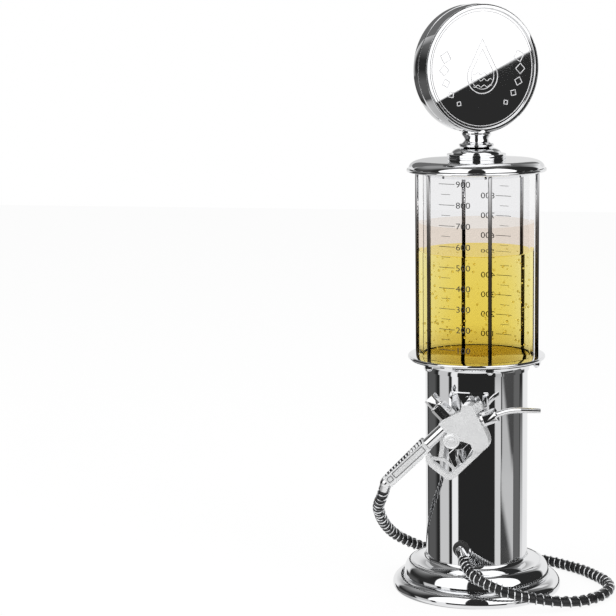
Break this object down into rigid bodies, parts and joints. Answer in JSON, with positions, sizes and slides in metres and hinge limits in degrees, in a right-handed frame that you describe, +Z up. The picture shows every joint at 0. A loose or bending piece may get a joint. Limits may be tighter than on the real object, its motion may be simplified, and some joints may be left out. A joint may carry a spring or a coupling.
{
  "type": "tabletop drink dispenser",
  "caption": "Tabletop drink dispenser shaped like an old fuel pump, with a clear canister, a domed lid, a round sign and a hand nozzle on a spring-guarded hose.",
  "frame": {"origin": "centre of the round base where it stands on the table", "axes": "+Z up along the column; the hose outlet and the nozzle's cradle face -Y; +X to the right of someone who faces the cradle, the way the spout points"},
  "size_m": [0.2037, 0.1653, 0.4884],
  "materials": {
    "chrome_plate": "mirror polished",
    "satin_metal": "satin",
    "bare_steel": "plain",
    "brass": "plain",
    "clear_plastic": "clear and smooth",
    "clear_hose": "smooth",
    "black_hose": "satin",
    "rubber": "matt"
  },
  "bodies": {
    "stand": {"base_shell": "chrome_plate", "base_ballast": "bare_steel", "base_plate": "bare_steel", "foot_ring": "rubber", "plate_screws": "bare_steel", "column_tube": "chrome_plate", "clamp_rods": "bare_steel", "clamp_nuts": "bare_steel", "collar": "chrome_plate", "drain_fitting": "brass", "drain_nut": "brass", "feed_hose": "clear_hose", "feed_clips": "bare_steel", "outlet_fitting": "chrome_plate", "outlet_grommet": "rubber", "outlet_nut": "bare_steel", "lower_gasket": "rubber", "canister": "clear_plastic", "upper_gasket": "rubber", "top_ring": "chrome_plate", "tie_rods": "chrome_plate", "acorn_nuts": "chrome_plate", "cradle": "chrome_plate", "cradle_screws": "chrome_plate", "hose": "black_hose", "hose_spring": "chrome_plate"},
    "lid": {"lid": "chrome_plate", "lid_seal": "rubber", "stem_foot": "chrome_plate"},
    "sign": {"sign_stem": "chrome_plate", "stem_bolt": "bare_steel", "stem_nut": "bare_steel", "swivel_washer": "brass", "sign_nut": "bare_steel", "sign_front_shell": "chrome_plate", "sign_back_shell": "chrome_plate", "sign_face": "chrome_plate"},
    "nozzle": {"body_front": "satin_metal", "body_back": "satin_metal", "body_screws": "bare_steel", "neck_tube": "satin_metal", "grip_front": "satin_metal", "grip_back": "satin_metal", "end_sleeve": "satin_metal", "hose_ferrule": "chrome_plate", "valve_body": "brass", "valve_plug": "brass", "bonnet": "chrome_plate", "bonnet_cap": "chrome_plate", "spout_nut": "chrome_plate", "spout": "chrome_plate", "trigger_pin": "bare_steel", "valve_spring": "bare_steel"},
    "trigger": {"trigger": "chrome_plate"},
    "plunger": {"plunger": "bare_steel", "valve_seal": "rubber", "spring_cap": "bare_steel"}
  },
  "joints": [
    {"name": "lid_lift", "type": "slide", "parent": "stand", "child": "lid", "axis": [0, 0, 1], "range_m": [0, 0.04]},
    {"name": "sign_turn", "type": "hinge", "parent": "lid", "child": "sign", "pos_m": [0, 0, 0.38], "axis": [0, 0, 1], "range_deg": [-180, 180]},
    {"name": "nozzle_lift", "type": "slide", "parent": "stand", "child": "nozzle", "axis": [0, -0.5, 0.866], "range_m": [0, 0.05], "deforming": ["hose", "hose_spring"]},
    {"name": "trigger_pull", "type": "hinge", "parent": "nozzle", "child": "trigger", "pos_m": [-0.01045, -0.057, 0.14159], "axis": [0, 1, 0], "range_deg": [0, 12], "stiffness_Nm_per_rad": 0.05},
    {"name": "plunger_slide", "type": "slide", "parent": "nozzle", "child": "plunger", "axis": [0.6947, 0, -0.7193], "range_m": [0, 0.0019], "deforming": ["valve_spring"]}
  ],
  "couplings": [
    {"joint": "plunger_slide", "follows": "trigger_pull", "m_per_rad": 0.0086}
  ]
}
